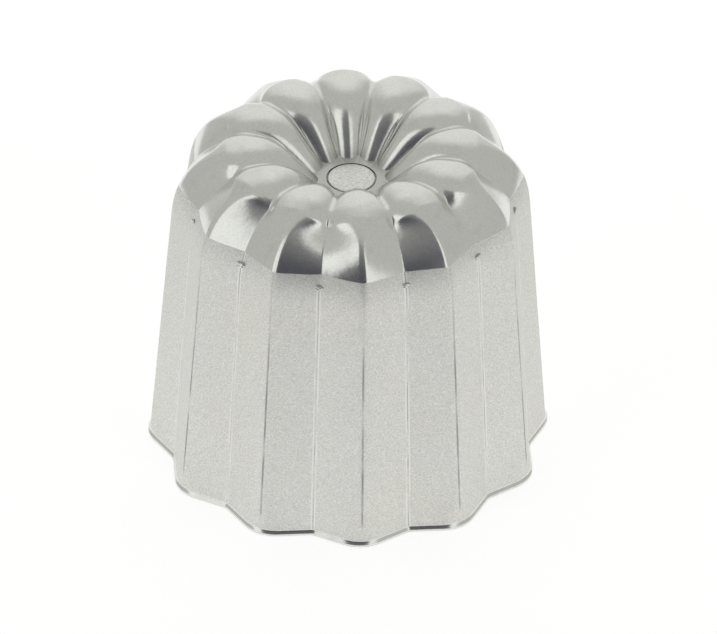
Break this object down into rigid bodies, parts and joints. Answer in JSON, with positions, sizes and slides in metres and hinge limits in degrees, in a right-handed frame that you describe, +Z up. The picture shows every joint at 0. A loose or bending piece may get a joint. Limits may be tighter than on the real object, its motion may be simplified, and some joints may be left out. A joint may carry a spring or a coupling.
{
  "type": "canele mould",
  "caption": "Deep fluted sheet-metal baking mould for caneles, stood mouth down, with a lobed, dished crown and a round disc set flush in the middle of the crown.",
  "frame": {"origin": "centre of the mouth, on the plane that the rim's edge rests on", "axes": "+Z up along the mould's axis, from the mouth to the crown; a ridge of the fluting points along +X and along -Y"},
  "size_m": [0.055, 0.055, 0.048],
  "materials": {
    "shell_metal": "satin, finely grained wall below a polished crown",
    "disc_metal": "finely brushed flat face with a bright rounded edge"
  },
  "bodies": {
    "root": {"fluted_shell": "shell_metal", "centre_disc": "disc_metal"}
  },
  "joints": []
}
